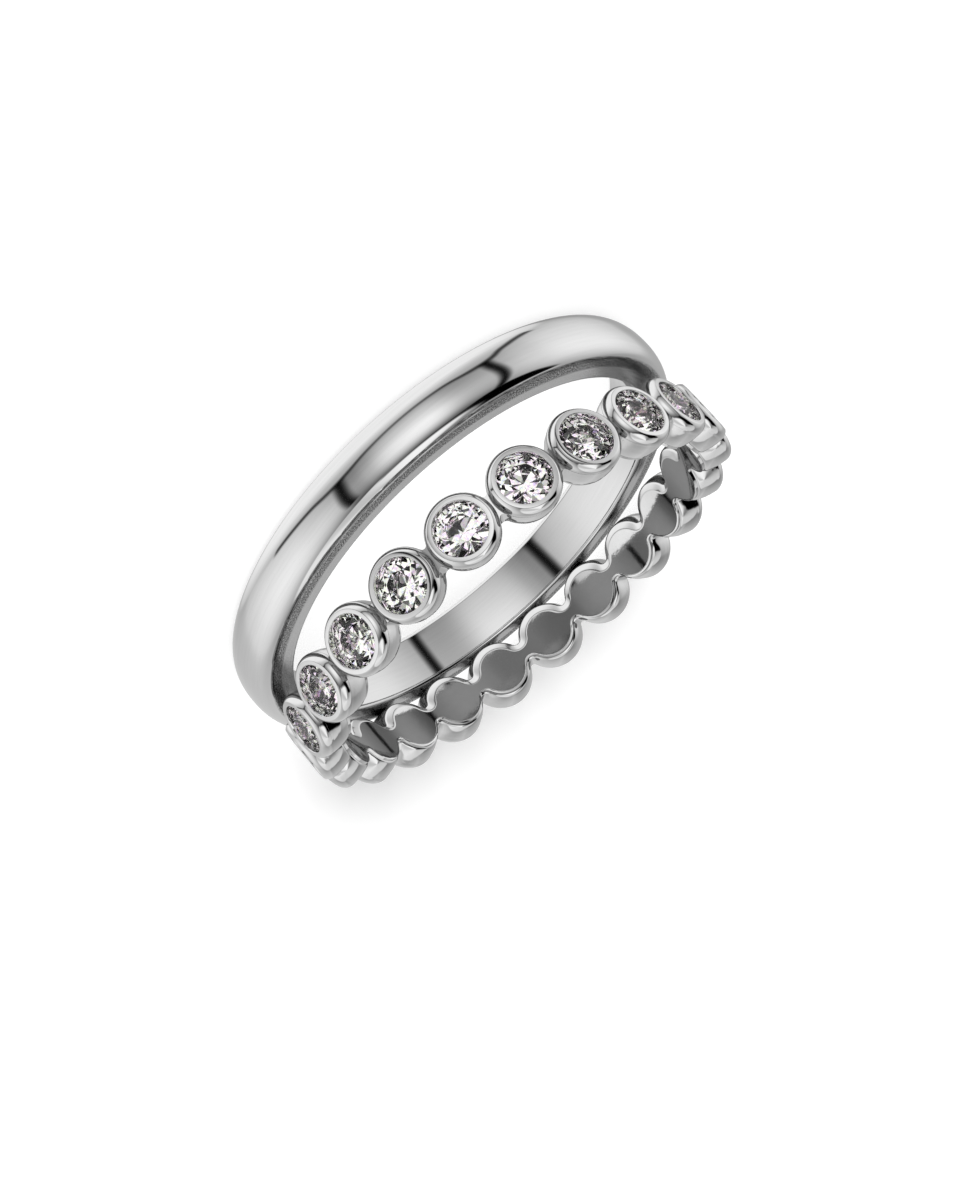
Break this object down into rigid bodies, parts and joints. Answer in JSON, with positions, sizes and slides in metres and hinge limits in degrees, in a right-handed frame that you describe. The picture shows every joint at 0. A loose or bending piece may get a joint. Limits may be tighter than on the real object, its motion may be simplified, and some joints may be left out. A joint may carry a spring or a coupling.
{
  "type": "finger ring",
  "caption": "Double finger ring: a plain domed band soldered at the back to a leaning row of round bezel settings, each holding a brilliant-cut clear stone.",
  "frame": {"origin": "centre of the plain band's side face that the ring lies on, which is the middle of the underside of the overall box", "axes": "+Z along the plain band's axis, from the plain band up to the row of settings; +Y towards the joined side, where the row rests on the plain band; -Y towards the side where the two stand apart"},
  "size_m": [0.0204, 0.0204, 0.0068],
  "materials": {
    "polished_metal": "mirror-polished white metal, side faces finely brushed",
    "clear_stone": "colourless, brilliant cut"
  },
  "bodies": {
    "root": {"joined_bands": "polished_metal", "stone_01": "clear_stone", "stone_02": "clear_stone", "stone_03": "clear_stone", "stone_04": "clear_stone", "stone_05": "clear_stone", "stone_06": "clear_stone", "stone_07": "clear_stone", "stone_08": "clear_stone", "stone_09": "clear_stone", "stone_10": "clear_stone", "stone_11": "clear_stone", "stone_12": "clear_stone", "stone_13": "clear_stone", "stone_14": "clear_stone", "stone_15": "clear_stone", "stone_16": "clear_stone", "stone_17": "clear_stone", "stone_18": "clear_stone", "stone_19": "clear_stone", "stone_20": "clear_stone", "stone_21": "clear_stone", "stone_22": "clear_stone"}
  },
  "joints": []
}
